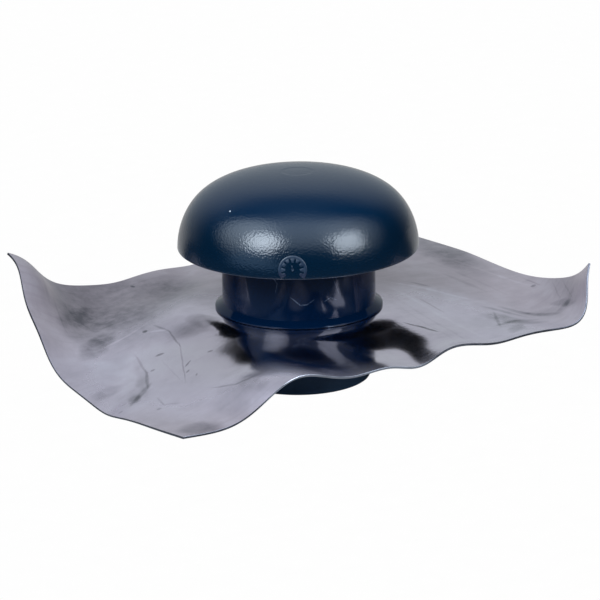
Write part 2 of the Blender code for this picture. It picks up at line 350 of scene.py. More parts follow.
def turned_mesh(points, steps, closed):
    """Vertices and faces of a turned shape.  The profile runs down its outer
    side.  An open profile starts and ends on the axis."""
    verts, faces, rows = [], [], []
    for r, z in points:
        if r < 1e-7:
            rows.append([len(verts)] * steps)
            verts.append((0.0, 0.0, z))
        else:
            start = len(verts)
            rows.append(list(range(start, start + steps)))
            for k in range(steps):
                a = math.tau * k / steps
                verts.append((r * math.cos(a), r * math.sin(a), z))
    pairs = list(zip(rows[:-1], rows[1:]))
    if closed:
        pairs.append((rows[-1], rows[0]))
    for up, low in pairs:
        for k in range(steps):
            j = (k + 1) % steps
            quad = [up[k], low[k], low[j], up[j]]
            face = []
            for v in quad:
                if v not in face:
                    face.append(v)
            if len(face) > 2:
                faces.append(tuple(face))
    return verts, faces


def arc(cx, cz, r, a0, a1, n):
    """Points of a small rounding, angles in degrees from +X towards +Z."""
    return [(cx + r * math.cos(math.radians(a0 + (a1 - a0) * i / n)),
             cz + r * math.sin(math.radians(a0 + (a1 - a0) * i / n))) for i in range(n + 1)]


# ---------------------------------------------------------------------- dome
DOME_R, DOME_RIM_Z = 84.9 * MM, 94.6 * MM
SHOULDER_H, SHOULDER_P_R, SHOULDER_P_Z = 49.2 * MM, 4.2, 1.85
CROWN_R, CROWN_H, DOME_WALL = 68.0 * MM, 4.5 * MM, 2.6 * MM
GATE_R, GATE_DEPTH = 11.6 * MM, 0.14 * MM


def dome_height(r):
    t = max(0.0, 1.0 - (r / DOME_R) ** SHOULDER_P_R)
    z = DOME_RIM_Z + SHOULDER_H * t ** (1.0 / SHOULDER_P_Z)
    if r < CROWN_R:
        z += CROWN_H * (1.0 - (r / CROWN_R) ** 2) ** 2
    return z


def dome_point(r, offset=0.0):
    """Point of the surface `offset` outside the outer one, and its normal."""
    h = 0.02 * MM
    lo, hi = max(0.0, r - h), min(DOME_R, r + h)
    dz, dr = dome_height(hi) - dome_height(lo), hi - lo
    n = math.hypot(dr, dz)
    nr, nz = (-dz / n, dr / n)
    if r <= 0.0:
        nr, nz = 0.0, 1.0
    if r >= DOME_R:
        nr, nz = 1.0, 0.0
    return r + nr * offset, dome_height(r) + nz * offset, nr, nz


def dome_radii(count):
    """Radii from the axis to the rim, crowded towards the shoulder."""
    crown = [2.0 * MM * i for i in range(1, 12)]
    out = []
    for i in range(1, count + 1):
        a = 0.5 * math.pi * i / count
        out.append(DOME_R * math.sin(a) ** (2.0 / SHOULDER_P_R))
    return sorted(r for r in crown + out if r >= 1.0 * MM)


def dome_profile():
    radii = dome_radii(64)
    pts = [(0.0, dome_height(0.0) - GATE_DEPTH)]
    for r in (2.0, 4.0, 6.0, 8.0, 9.6, 10.4, 10.9, 11.3, 11.6):
        t = min(1.0, max(0.0, (r * MM - 0.90 * GATE_R) / (0.10 * GATE_R)))
        pts.append((r * MM, dome_height(r * MM) - GATE_DEPTH * (1.0 - t * t * (3.0 - 2.0 * t))))
    pts += [(r, dome_height(r)) for r in radii if r > GATE_R + 0.4 * MM
            and dome_height(r) > DOME_RIM_Z + 0.9 * MM]
    rim = DOME_RIM_Z
    s = 0.55 * MM
    pts += arc(DOME_R - s, rim + s, s, 0, -90, 5)
    pts += arc(DOME_R - DOME_WALL + s, rim + s, s, -90, -180, 5)
    inner = []
    for r in radii:
        x, z, _, _ = dome_point(r, -DOME_WALL)
        if z > rim + 0.9 * MM and x > 0.5 * MM:
            inner.append((x, z))
    inner.append((DOME_R - DOME_WALL - 0.05 * MM, rim + 1.4 * MM))
    inner.sort(key=lambda p: -p[0])
    pts += inner + [(0.0, dome_height(0.0) - DOME_WALL)]
    return pts


def make_web(k, mat):
    """A flat web under the hood, notched to sit on the tube's top edge."""
    inside, outside = 50.9 * MM, 54.5 * MM
    tongue, skirt, seat = 108.0 * MM, 101.0 * MM, 122.3 * MM
    mid = []
    for r in dome_radii(64):
        x, z, _, _ = dome_point(r, -0.5 * DOME_WALL)
        if x >= 38.0 * MM and z >= skirt:
            mid.append((x, z))
    mid = [(38.0 * MM, dome_height(38.0 * MM) - 0.5 * DOME_WALL)] + mid
    mid.append((DOME_R - 0.5 * DOME_WALL, skirt))
    outline = mid + [(outside + 6 * MM, skirt)]
    outline += arc(outside + 6 * MM, skirt + 6 * MM, 6 * MM, 270, 180, 6)[1:]
    outline += [(outside, seat), (inside, seat), (inside, tongue + 2 * MM),
                (inside - 1 * MM, tongue), (44.0 * MM, tongue)]
    half = 1.3 * MM
    n = len(outline)
    verts = [(x, -half, z) for x, z in outline] + [(x, half, z) for x, z in outline]
    faces = [tuple(range(n)), tuple(range(2 * n - 1, n - 1, -1))]
    for i in range(n):
        j = (i + 1) % n
        faces.append((j, i, n + i, n + j))
    a = k * math.pi / 2
    c, s = math.cos(a), math.sin(a)
    verts = [(c * x - s * y, s * x + c * y, z) for x, y, z in verts]
    ob = mesh_object("web_%d" % (k + 1), verts, faces, [mat])
    bevel = ob.modifiers.new("soft", "BEVEL")
    bevel.width = 0.3 * MM
    bevel.segments = 2
    bevel.limit_method = "ANGLE"
    bevel.angle_limit = math.radians(60)
    return ob


# moulded dial on the hood's side, just above the rim
DIAL_AZ = math.radians(-125.35)
DIAL_Z = 101.4 * MM


def rim_curve():
    """Arc length up the hood's side from the rim, with radius, height and normal."""
    table, length, last = [], 0.0, None
    for i in range(401):
        a = 0.5 * math.pi * (1.0 - i / 400.0)
        r = DOME_R * math.sin(a) ** (2.0 / SHOULDER_P_R)
        x, z, nr, nz = dome_point(min(r, DOME_R))
        if last is not None:
            length += math.hypot(x - last[0], z - last[1])
        table.append((length, x, z, nr, nz))
        last = (x, z)
        if length > 0.04:
            break
    return np.array(table)


def on_side(table, across, along, lift):
    """A point of the hood's side: across it, up along it from the rim, and lifted off."""
    r = np.interp(along, table[:, 0], table[:, 1])
    z = np.interp(along, table[:, 0], table[:, 2])
    nr = np.interp(along, table[:, 0], table[:, 3])
    nz = np.interp(along, table[:, 0], table[:, 4])
    a = DIAL_AZ + across / DOME_R
    return ((r + nr * lift) * math.cos(a), (r + nr * lift) * math.sin(a), z + nz * lift)


def make_dial(mat):
    """Raised ring, twelve short bars, centre dot and pointer, cut by the rim."""
    table = rim_curve()
    centre = float(np.interp(DIAL_Z, table[:, 2], table[:, 0]))
    low = 0.9 * MM
    verts, faces = [], []

    def patch(polar, high):
        """A raised patch from a grid of (radius, angle) rows, clipped at the rim."""
        rows = []
        for row in polar:
            line = []
            for rho, a in row:
                x, y = rho * math.cos(a), rho * math.sin(a)
                line.append((x, max(centre + y, low)))
            rows.append(line)
        n, m = len(rows), len(rows[0])
        flat = [p for row in rows for p in row]
        edge = set()
        for i in range(n):
            for j in range(m):
                if i in (0, n - 1) or j in (0, m - 1):
                    edge.add(i * m + j)
        start = len(verts)
        for k, (x, s) in enumerate(flat):
            lift = 0.35 * high if k in edge else high
            if s <= low:
                lift = 0.0
            verts.append(on_side(table, x, s, lift))
        base = len(verts)
        for x, s in flat:
            verts.append(on_side(table, x, s, -0.30 * MM))
        for i in range(n - 1):
            for j in range(m - 1):
                a, b, c, d = i * m + j, (i + 1) * m + j, (i + 1) * m + j + 1, i * m + j + 1
                if all(flat[q][1] <= low for q in (a, b, c, d)):
                    continue
                faces.append((start + a, start + b, start + c, start + d))
                faces.append((base + d, base + c, base + b, base + a))
                for p, q, out in ((a, b, j == 0), (b, c, i == n - 2), (c, d, j == m - 2), (d, a, i == 0)):
                    if out:
                        faces.append((start + q, start + p, base + p, base + q))
                # sides where the neighbouring cell was clipped away
                for p, q, ni, nj in ((a, b, i, j - 1), (b, c, i + 1, j), (c, d, i, j + 1), (d, a, i - 1, j)):
                    if 0 <= ni < n - 1 and 0 <= nj < m - 1:
                        cell = (ni * m + nj, (ni + 1) * m + nj, (ni + 1) * m + nj + 1, ni * m + nj + 1)
                        if all(flat[q2][1] <= low for q2 in cell):
                            faces.append((start + q, start + p, base + p, base + q))

    lift = 0.28 * MM
    radii = [7.9, 8.3, 8.9, 9.45, 9.8]
    steps = 120
    # the ring as a long patch from one end of the rim's cut to the other
    cut = math.asin(max(-1.0, min(1.0, (low - centre) / (9.8 * MM))))
    a0, a1 = cut - 0.02, math.pi - cut + 0.02
    grid = [[(r * MM, a0 + (a1 - a0) * k / steps) for r in radii] for k in range(steps + 1)]
    patch(grid, lift)
    for k in range(12):
        mid = math.radians(90 - 30 * k)
        y = centre + 7.0 * MM * math.sin(mid)
        if y < low + 0.8 * MM:
            continue
        # each mark widens outwards until it runs into the ring
        inner = 5.0 if k % 3 == 0 else 5.6
        rows = [[(rho * MM, mid + half * w) for rho, half in
                 ((inner, 0.10), (inner + 0.4, 0.13), (6.6, 0.155), (7.4, 0.17), (8.0, 0.18))]
                for w in (-1.0, -0.6, 0.0, 0.6, 1.0)]
        patch(rows, 0.8 * lift)
    dot = [[(r * MM, math.tau * k / 20) for r in (0.05, 0.5, 0.8, 1.0)] for k in range(21)]
    patch(dot, 1.3 * lift)
    hand = [[(rho * MM, math.radians(97) + w) for rho in (1.2, 1.5, 2.6, 3.0)]
            for w in (-0.16, -0.08, 0.08, 0.16)]
    patch(hand, 0.8 * lift)
    ob = mesh_object("dial_relief", verts, faces, [mat], sharp=50)
    return ob


# ---------------------------------------------------------------- tube, sleeve
def tube_profile():
    top, r, bore, low = 122.0 * MM, 54.2 * MM, 51.2 * MM, 51.05 * MM
    foot_top, foot_r, lip = 55.4 * MM, 59.2 * MM, 1.1 * MM
    s = 0.55 * MM
    pts = arc(r - s, top - s, s, 90, 0, 4)
    pts += [(r, top - 0.5 * MM - (top - foot_top) * i / 24) for i in range(1, 23)]
    n = 6
    for i in range(n + 1):
        t = i / n
        pts.append((r + (foot_r - r - 0.12 * MM) * t, foot_top + (low + lip - foot_top) * t))
    # the lip: a small step out, an upright edge and a rounded lower corner
    pts += arc(foot_r - 0.25 * MM, low + lip - 0.22 * MM, 0.25 * MM, 60, 0, 3)
    pts += arc(foot_r - 0.3 * MM, low + 0.3 * MM, 0.3 * MM, 0, -90, 4)
    pts += [(bore + s, low)] + arc(bore + s, low + s, s, -90, -180, 3)[1:]
    pts += [(bore, low + (top - low) * i / 16) for i in range(1, 16)]
    pts += arc(bore + s, top - s, s, 180, 90, 4)
    return pts


def sleeve_profile():
    top = 48.95 * MM
    under = top - 3.0 * MM
    r, flange, collar, bore = 50.0 * MM, 60.0 * MM, 50.9 * MM, 47.5 * MM
    high, s = 76.0 * MM, 0.45 * MM
    pts = [(collar - 1.0 * MM, high), (collar, high - 2.0 * MM)]
    pts += [(collar, high - 2.0 * MM - (high - 2.0 * MM - top) * i / 8) for i in range(1, 9)]
    pts += arc(flange - s, top - s, s, 90, 0, 4)
    pts += arc(flange - s, under + s, s, 0, -90, 4)
    pts += arc(r + 1.5 * MM, under - 1.5 * MM, 1.5 * MM, 90, 180, 5)
    pts += [(r, under - 1.5 * MM - (under - 1.5 * MM - s) * i / 14) for i in range(1, 14)]
    pts += arc(r - s, s, s, 0, -90, 4)
    pts += arc(bore + s, s, s, -90, -180, 4)
    pts += [(bore, s + (high - 2 * s) * i / 24) for i in range(1, 24)]
    pts += arc(bore + s, high - s, s, 180, 90, 3)
    return pts


# ---------------------------------------------------------------- lead sheet
SHEET_X, SHEET_Y, SHEET_T, SHEET_Z = 364.0 * MM, 286.0 * MM, 1.5 * MM, 50.0 * MM
HOLE_R, CLAMP_R, CLAMP_BLEND = 51.4 * MM, 62.0 * MM, 18.0 * MM
FOLDS = [
    (135, 105, 5, 0.74), (135, 150, 5, 0.70), (145, 105, 20, -1.15),
    (180, 125, 10, 0.48), (215, 80, 10, -0.36), (-20, 180, 5, 0.90), (0, 140, 5, 0.20),
    (10, 165, 25, -0.40), (-55, 65, 5, -0.10), (-90, 105, 15, 0.26),
]
WAVES = [
    (-100, -130, 35, 60, 20, 23), (5, -140, 20, 45, -15, -10), (60, -130, 20, 85, 30, -4),
    (-170, 130, 30, 40, -45, 8), (-185, 65, 20, 30, 15, 4),
    # shallow dents that only the reflections show
    (-93, 25, 38, 37, -80, 5), (-94, 2, 21, 29, 22, -6), (-84, -73, 16, 31, -9, 4.7),
    (-60, -105, 30, 25, -30, -4), (-73, -105, 18, 16, -32, 3.9), (4, -115, 16, 23, -7, 2.8),
    (35, -80, 18, 21, -50, 1.6), (49, -105, 17, 21, 47, 3), (140, -81, 35, 16, 69, -2.2),
    (-66, 67, 47, 34, -2, 4.7), (-11, -98, 32, 24, -50, -5.6),
]


def sheet_height(x, y):
    z = np.full(np.shape(x), SHEET_Z)
    for angle, dist, soft, slope in FOLDS:
        a, s = math.radians(angle), soft * MM
        q = (x * math.cos(a) + y * math.sin(a) - dist * MM) / s
        z = z + slope * s * np.logaddexp(0.0, q)
    for cx, cy, along, across, angle, height in WAVES:
        a = math.radians(angle)
        du = (x - cx * MM) * math.cos(a) + (y - cy * MM) * math.sin(a)
        dv = (y - cy * MM) * math.cos(a) - (x - cx * MM) * math.sin(a)
        z = z + height * MM * np.exp(-(du / (along * MM)) ** 2 - (dv / (across * MM)) ** 2)
    return z


def sheet_surface(around=600, rings=72):
    """Flat and bent places of the sheet's middle surface on rays from the
    axis: arrays of shape (around, rings + 1)."""
    w, h = SHEET_X / 2, SHEET_Y / 2
    side = [(w, -h, 0, 1, SHEET_Y), (w, h, -1, 0, SHEET_X), (-w, h, 0, -1, SHEET_Y), (-w, -h, 1, 0, SHEET_X)]
    whole = 2 * (SHEET_X + SHEET_Y)
    ends = []
    for x0, y0, dx, dy, length in side:
        n = int(round(around * length / whole))
        for i in range(n):
            ends.append((x0 + dx * length * i / n, y0 + dy * length * i / n))
    ends = np.array(ends)
    reach = np.hypot(ends[:, 0], ends[:, 1])
    cx, cy = ends[:, 0] / reach, ends[:, 1] / reach
    fine = 240
    share = np.linspace(0.0, 1.0, fine + 1)
    rho = CLAMP_R + (reach[:, None] - CLAMP_R) * share
    z = sheet_height(cx[:, None] * rho, cy[:, None] * rho)
    b = np.clip((rho - CLAMP_R) / CLAMP_BLEND, 0.0, 1.0)
    z = SHEET_Z + (z - SHEET_Z) * b * b * (3.0 - 2.0 * b)
    dz, dr = np.diff(z, axis=1), np.diff(rho, axis=1)
    plan = np.cumsum(np.sqrt(np.maximum(dr ** 2 - dz ** 2, (0.15 * dr) ** 2)), axis=1)
    plan = CLAMP_R + np.concatenate([np.zeros((len(ends), 1)), plan], axis=1)
    j = np.arange(rings + 1) / rings
    pos = HOLE_R + (reach[:, None] - HOLE_R) * j
    bent_r, bent_z = np.array(pos), np.full(pos.shape, SHEET_Z)
    for k in range(len(ends)):
        far = pos[k] > CLAMP_R
        bent_r[k, far] = np.interp(pos[k, far], rho[k], plan[k])
        bent_z[k, far] = np.interp(pos[k, far], rho[k], z[k])
    fx, fy = cx[:, None] * pos, cy[:, None] * pos
    return fx, fy, cx[:, None] * bent_r, cy[:, None] * bent_r, bent_z


def make_sheet(face_mat, edge_mat):
    fx, fy, bx, by, bz = sheet_surface()
    n, m = fx.shape
    p = np.stack([bx, by, bz], axis=-1)
    # normals from neighbours around and along the rays
    around = np.roll(p, -1, axis=0) - np.roll(p, 1, axis=0)
    along = np.gradient(p, axis=1)
    nrm = np.cross(along, around)
    nrm /= np.linalg.norm(nrm, axis=-1, keepdims=True)
    nrm[nrm[..., 2] < 0] *= -1.0
    half = 0.5 * SHEET_T
    top, low = p + nrm * half, p - nrm * half
    outward = along[:, -1] / np.linalg.norm(along[:, -1], axis=-1, keepdims=True)
    soft = 0.22 * MM
    verts, flat, faces, kinds = [], [], [], []

    def add(points, fxy):
        start = len(verts)
        verts.extend(points)
        flat.extend(fxy)
        return start

    rows = [add(top[:, j], list(zip(fx[:, j], fy[:, j]))) for j in range(m - 1)]
    last = list(zip(fx[:, -1], fy[:, -1]))
    rows.append(add(top[:, -1] - outward * soft, last))
    edge_from = len(rows) - 1
    rows.append(add(p[:, -1] + nrm[:, -1] * (half - soft), last))
    rows.append(add(p[:, -1] - nrm[:, -1] * (half - soft), last))
    rows.append(add(low[:, -1] - outward * soft, last))
    edge_to = len(rows) - 1
    rows += [add(low[:, j], list(zip(fx[:, j], fy[:, j]))) for j in range(m - 2, -1, -1)]
    count = len(rows)
    for i in range(count):
        a, b = rows[i], rows[(i + 1) % count]
        kind = 1 if edge_from <= i < edge_to else 0
        for k in range(n):
            q = (k + 1) % n
            faces.append((a + k, b + k, b + q, a + q))
            kinds.append(kind)
    ob = mesh_object("lead_flashing", verts, faces, [face_mat, edge_mat], sharp=38)
    me = ob.data
    me.polygons.foreach_set("material_index", np.array(kinds, np.int32))
    at = me.attributes.new("flat_place", "FLOAT_VECTOR", "POINT")
    data = np.zeros((len(verts), 3), np.float32)
    data[:, :2] = np.array(flat)
    at.data.foreach_set("vector", data.ravel())
    return ob


# ------------------------------------------------------------------ materials
# Scratches: both ends in mm, half-width, strength.
HOOD_SCRATCHES = [
    ((-23.6, -73.0, 121.6), (-19.5, -76.0, 119.0), 0.35, 0.8), ((-19.5, -76.0, 119.0), (-22.8, -76.4, 117.2), 0.35, 0.7),
    ((-24.2, -75.0, 119.2), (-21.4, -77.2, 116.6), 0.30, 0.6), ((-20.9, -74.6, 120.9), (-17.6, -76.6, 118.8), 0.25, 0.5),
]
HOOD_SPECK = [((-65.0, -15.9, 133.1), (-64.6, -15.3, 133.1), 0.50, 0.7)]
DUCT_SCRATCHES = [
    ((-42.7, -33.4, 87.0), (-40.6, -35.9, 82.0), 0.35, 0.5), ((-40.6, -35.9, 82.0), (-41.4, -35.0, 76.0), 0.35, 0.45),
    ((-33.6, -42.6, 72.2), (-28.4, -46.2, 66.9), 0.40, 0.9), ((-28.4, -46.2, 66.9), (-24.4, -48.4, 67.2), 0.35, 0.8),
    ((-24.4, -48.4, 67.2), (-20.3, -50.3, 70.2), 0.35, 0.6), ((-12.8, -52.7, 68.5), (-8.4, -53.5, 70.8), 0.35, 0.8),
    ((-8.4, -53.5, 70.8), (-3.8, -54.1, 68.5), 0.35, 0.7), ((-6.0, -53.9, 83.5), (-2.2, -54.2, 73.5), 0.22, 0.5),
    ((-25.6, -53.5, 50.9), (-22.6, -54.8, 50.7), 0.45, 0.8), ((-19.4, -56.1, 50.3), (-17.2, -56.8, 50.2), 0.40, 0.7),
    ((-15.3, -57.3, 52.2), (-9.5, -58.5, 51.5), 0.35, 0.7), ((-13.0, -57.8, 51.2), (-11.2, -58.2, 51.0), 0.50, 0.9),
]


def scratch_mask(t, place, strokes):
    """1 on straight scratches between two points of a surface."""
    whole = 0.0
    for (x0, y0, z0), (x1, y1, z1), wide, depth in strokes:
        span = math.sqrt((x1 - x0) ** 2 + (y1 - y0) ** 2 + (z1 - z0) ** 2)
        e = ((x1 - x0) / span, (y1 - y0) / span, (z1 - z0) / span)
        w, h = wide * MM, (0.56 * span + 0.5 * wide) * MM
        q = t.vec("SUBTRACT", place, ((x0 + x1) / 2 * MM, (y0 + y1) / 2 * MM, (z0 + z1) / 2 * MM))
        along = t.vec("DOT_PRODUCT", q, e)
        off = t.math("MULTIPLY", t.vec("DOT_PRODUCT", q, q), 1.0 / (w * w))
        r = t.math("MULTIPLY_ADD", t.math("MULTIPLY", along, along), 1.0 / (h * h) - 1.0 / (w * w), off)
        m = t.math("MAXIMUM", t.math("MINIMUM", t.math("MULTIPLY_ADD", r, -0.8, 1.3), 1.0), 0.0)
        whole = t.math("MULTIPLY_ADD", m, depth, whole)
    return t.math("MINIMUM", whole, 1.0)


def dome_material():
    mat, t, bsdf = principled("navy_textured_plastic")
    tc = t.node("ShaderNodeTexCoord").outputs["Object"]
    cloud = t.noise(tc, 14.0, 3.0)
    tone = t.mix(cloud, (0.0004, 0.0068, 0.0170), (0.0006, 0.0084, 0.0205))
    # painted light: lighter and bluer towards the top, standing in for the light falling from above
    height = t.node("ShaderNodeSeparateXYZ")
    t.put(height.inputs[0], tc)
    painted_toplight = t.span(height.outputs["Z"], 0.112, 0.137)
    tone = t.mix(painted_toplight, tone, (0.0006, 0.0110, 0.0300))
    scuff = scratch_mask(t, tc, HOOD_SCRATCHES)
    tone = t.mix(scratch_mask(t, tc, HOOD_SPECK), tone, (0.75, 0.77, 0.80))
    t.put(bsdf.inputs["Base Color"], tone)
    grain = t.noise(tc, 780.0, 1.0, 0.4)
    fine = t.noise(tc, 2600.0, 1.0, 0.5)
    patch = t.noise(tc, 35.0, 3.0)
    rough = t.math("ADD", t.span(patch, 0.3, 0.7, 0.11, 0.14), t.math("MULTIPLY", fine, 0.03))
    t.put(bsdf.inputs["Roughness"], t.math("MULTIPLY_ADD", scuff, 0.5, rough))
    n1 = t.bump(grain, 0.00014)
    n2 = t.bump(fine, 0.00002, normal=n1)
    t.put(bsdf.inputs["Normal"], n2)
    bsdf.inputs["IOR"].default_value = 1.5
    return mat


def dial_material():
    mat, t, bsdf = principled("navy_dial_relief")
    tc = t.node("ShaderNodeTexCoord").outputs["Object"]
    cloud = t.noise(tc, 300.0, 3.0)
    tone = t.mix(cloud, (0.0038, 0.0130, 0.0300), (0.0075, 0.0210, 0.0430))
    # darker towards the rim
    height = t.node("ShaderNodeSeparateXYZ")
    t.put(height.inputs[0], tc)
    rim_fade = t.span(height.outputs["Z"], 0.1010, 0.0985)
    t.put(bsdf.inputs["Base Color"], t.mix(rim_fade, tone, (0.0030, 0.0080, 0.0250)))
    t.put(bsdf.inputs["Roughness"], t.span(cloud, 0.3, 0.7, 0.35, 0.5))
    t.put(bsdf.inputs["Normal"], t.bump(t.noise(tc, 900.0, 2.0), 0.00005))
    return mat


def tube_material():
    mat, t, bsdf = principled("navy_glossy_plastic")
    tc = t.node("ShaderNodeTexCoord").outputs["Object"]
    cloud = t.noise(tc, 20.0, 2.0)
    tone = t.mix(cloud, (0.0003, 0.0052, 0.0185), (0.0004, 0.0066, 0.0225))
    dust = t.noise(tc, 700.0, 4.0)
    scuff = t.math("MULTIPLY", scratch_mask(t, tc, DUCT_SCRATCHES), t.span(dust, 0.3, 0.6, 0.12, 0.55))
    t.put(bsdf.inputs["Base Color"], t.mix(scuff, tone, (0.13, 0.16, 0.21)))
    bsdf.inputs["Specular IOR Level"].default_value = 0.16
    t.put(bsdf.inputs["Roughness"], t.math("ADD", t.span(t.noise(tc, 60.0, 3.0), 0.35, 0.7, 0.05, 0.09),
                                            t.math("MULTIPLY", dust, 0.02)))
    wave = t.noise(t.scaled(tc, (1.0, 1.0, 0.45)), 38.0, 1.0, 0.4)
    n1 = t.bump(wave, 0.0004)
    n2 = t.bump(dust, 0.000012, normal=n1)
    t.put(bsdf.inputs["Normal"], n2)
    return mat


def sleeve_material():
    mat, t, bsdf = principled("navy_matt_plastic")
    tc = t.node("ShaderNodeTexCoord").outputs["Object"]
    cloud = t.noise(tc, 25.0, 3.0)
    t.put(bsdf.inputs["Base Color"], t.mix(cloud, (0.030, 0.068, 0.125), (0.042, 0.088, 0.155)))
    t.put(bsdf.inputs["Roughness"], t.span(t.noise(tc, 120.0, 3.0), 0.3, 0.7, 0.42, 0.55))
    t.put(bsdf.inputs["Normal"], t.bump(t.noise(tc, 800.0, 2.0), 0.00006))
    return mat


# Stains and smudges of the lead sheet, mixed with painted shade on its darker slopes and painted light on its paler
# ones, in its flat coordinates, in mm.  A blot: centre x, y, half-lengths, angle in degrees, depth of tone (negative is
# paler, painted light).
STAIN_AND_SHADE_BLOTS = [
    (-87, 114, 59, 46, -59, 0.34), (-131, 99, 23, 8.2, 33, 0.22), (-138, 54, 19, 9.2, 35, 0.34), (-32, 109, 20, 14, -87, 0.22),
    (-72, 11, 13, 7.4, -71, 0.28), (-48, 71, 48, 16, -88, 0.14), (-163, -43, 8.1, 4, 64, 0.35), (-142, -17, 34, 4.2, 66, 0.16),
    (-166, -9, 12, 6.2, 1, 0.2), (-164, -134, 14, 12, -8, 0.34), (174, 76, 56, 18, 73, 0.34), (161, 26, 39, 14, 79, 0.2),
    (172, -103, 32, 11, 73, 0.18), (101, -122, 14, 5.7, 43, 0.3), (160, -104, 16, 3, -89, 0.28), (107, -101, 35, 17, 9, 0.1),
    (-129, -118, 21, 9.5, 71, 0.1), (-113, -117, 14, 6.8, 90, 0.22), (-120, -6, 55, 21, -71, -0.14), (86, -40, 32, 25, 72, -0.1),
    (-151, 0, 35, 9.7, -89, -0.08),
    (-114, 66, 42, 34, -70, 0.22), (-137, 93, 30, 22, -60, 0.12), (112, -92, 16, 8, -60, 0.24), (118, -107, 14, 6, -20, 0.26),
    (148, -94, 18, 6, -50, 0.14), (160, -109, 11, 5, -10, 0.20), (-154, -31, 16, 5, 45, 0.10),
]
# A stroke: both ends, width, depth of tone.  Dark ones are smudges together with painted shade along creases; pale ones
# are painted light.
SMUDGE_AND_SHADE_STROKES = [
    (-96.2, 40.7, -95.5, 20.6, 1.1, 0.22), (-95.5, 20.6, -101.5, -2.4, 0.9, 0.3), (-101.5, -2.4, -126.3, -52.1, 0.8, 0.3),
    (-121.2, -11.2, -129.7, -52.1, 0.6, 0.12), (-126.2, 18.4, -135.3, -10.9, 1.1, 0.22), (-135.3, -10.9, -147.3, -35.4, 1.5, 0.3),
    (-147.3, -35.4, -165.4, -47.9, 3.4, 0.34), (-154.2, -62.3, -157.3, -76.2, 0.6, 0.25), (-157.3, -76.2, -149.2, -84, 1.2, 0.18),
    (-125, -91.4, -118.1, -105.9, 1.2, 0.3), (-118.1, -105.9, -105.8, -114.3, 1.4, 0.28), (-104.3, 43.5, -103.9, 41.4, 1.9, 0.6),
    (-118.6, 0.1, -115.3, -1.3, 2, 0.6), (-116.2, -35.9, -110.6, -32.3, 1, 0.5), (-120.6, -45, -118.2, -43.6, 1.1, 0.5),
    (-119.9, -56.5, -118, -54.5, 0.8, 0.4), (-63.3, 129.4, -62.9, 126.9, 1.4, 0.5), (-132.7, -14.9, -131, -15.3, 1.8, 0.4),
    (-95.6, -33.5, -93.6, -34.3, 1.7, 0.4), (-177.5, -49.2, -176, -49.2, 1.8, 0.35), (-163.6, -79, -162, -79.4, 1.5, 0.35),
    (-139.3, 46.6, -102, 51.8, 1.4, -0.18), (-103.3, 37.6, -95.2, 24.1, 1.6, -0.14), (-134.7, 116.9, -126.7, 88.9, 1.7, 0.12),
    (-155.9, 132.4, -156.8, 103.9, 2.6, 0.1), (-148.1, 112.7, -150.1, 78.5, 1.2, 0.1), (96.6, -1.7, 101.7, -13.3, 2.1, 0.30),
    (79.1, -35.7, 78.8, -64.3, 1.3, 0.25), (40.6, -74.1, 44.9, -86.2, 1.4, 0.45), (45.2, -83.3, 48.3, -98.6, 1.6, 0.55),
    (116.2, -68.3, 130.4, -87.2, 3.7, 0.28), (111.8, -81.6, 96.1, -108.6, 1.4, 0.3), (95.4, -108.2, 117.2, -99.9, 2.5, 0.28),
    (117.2, -99.9, 131.9, -101.7, 3.1, 0.24), (128.8, -69.2, 139.4, -84.8, 3.9, 0.26), (139.3, -82.4, 147.8, -104.1, 4, 0.3),
    (176.4, -32.8, 174.9, -52.1, 0.9, 0.22), (171.7, -47.7, 172.5, -49.1, 2.3, 0.5), (177.1, -70.2, 164.9, -93.7, 0.6, 0.12),
    (178.3, -86.4, 164.5, -113.2, 0.6, 0.12), (64.5, -22.9, 55.8, -130.6, 1.4, 0.07), (75.1, -17.5, 69.4, -123.1, 2.2, -0.1),
    (55.7, -40.4, 48.4, -127.2, 1, 0.06), (84.2, 5.7, 114.2, -49.2, 2.4, -0.1), (140.6, 37.9, 147.4, -40.4, 2, 0.07),
    (156.5, 41, 169.6, -34.5, 2, -0.08), (132.1, 3.1, 136.7, -30.5, 2.8, 0.14),
]
# Where the sheet is rubbed bright, like the blots
POLISHED = [(-29, -64, 150, 95, -33)]


